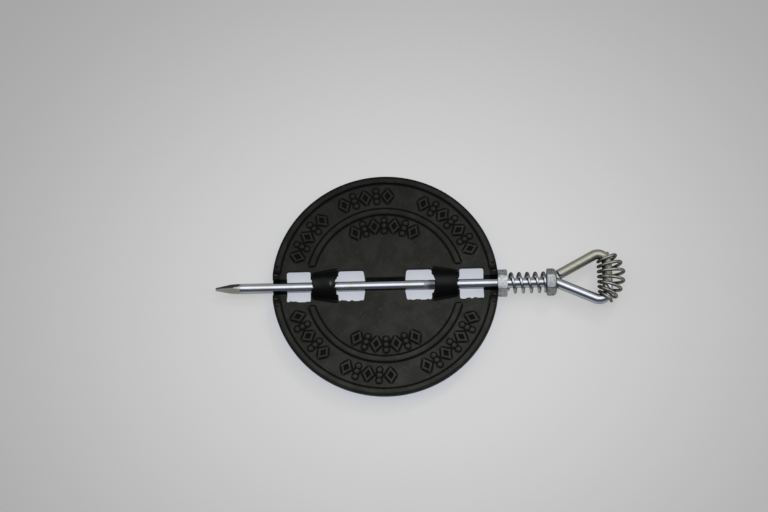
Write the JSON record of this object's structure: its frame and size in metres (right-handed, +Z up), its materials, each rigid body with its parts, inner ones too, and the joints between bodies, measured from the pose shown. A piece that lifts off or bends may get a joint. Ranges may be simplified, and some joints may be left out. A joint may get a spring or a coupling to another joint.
{
  "type": "stovepipe damper",
  "caption": "Round cast plate with windows and bridges that turns in a flue pipe on a pointed wire spindle with a sprung seat, looped handle and wire coil grip.",
  "frame": {"origin": "middle of the plate on the spindle's axis", "axes": "+X along the spindle to the handle, +Z up from the plate's decorated face, +Y across the plate"},
  "size_m": [0.2643, 0.146, 0.0184],
  "materials": {
    "black_iron": "matt black paint on rough castings",
    "zinc_wire": "bright zinc plate on drawn wire",
    "zinc_hex": "bright zinc plate on turned hexagonal bar",
    "spring_wire": "bright zinc plate on spring wire"
  },
  "bodies": {
    "plate": {"damper_plate": "black_iron"},
    "spindle": {"spindle": "zinc_wire", "thrust_collar": "zinc_hex", "grip_coil": "spring_wire"},
    "spring": {"spindle_spring": "spring_wire"},
    "seat": {"spring_seat": "zinc_hex"}
  },
  "joints": [
    {"name": "spindle_push", "type": "slide", "parent": "plate", "child": "spindle", "axis": [-1, 0, 0], "range_m": [0, 0.005], "stiffness_N_per_m": 4600, "springref_m": -0.0005, "deforming": ["spindle_spring"]},
    {"name": "turn_in_pipe", "type": "hinge", "parent": "plate", "child": "spring", "pos_m": [0.0725, 0, 0], "axis": [1, 0, 0], "continuous": true},
    {"name": "seat_lift", "type": "slide", "parent": "spring", "child": "seat", "axis": [1, 0, 0], "range_m": [0, 0.008], "stiffness_N_per_m": 4600, "springref_m": -0.0005, "deforming": ["spindle_spring"]}
  ]
}
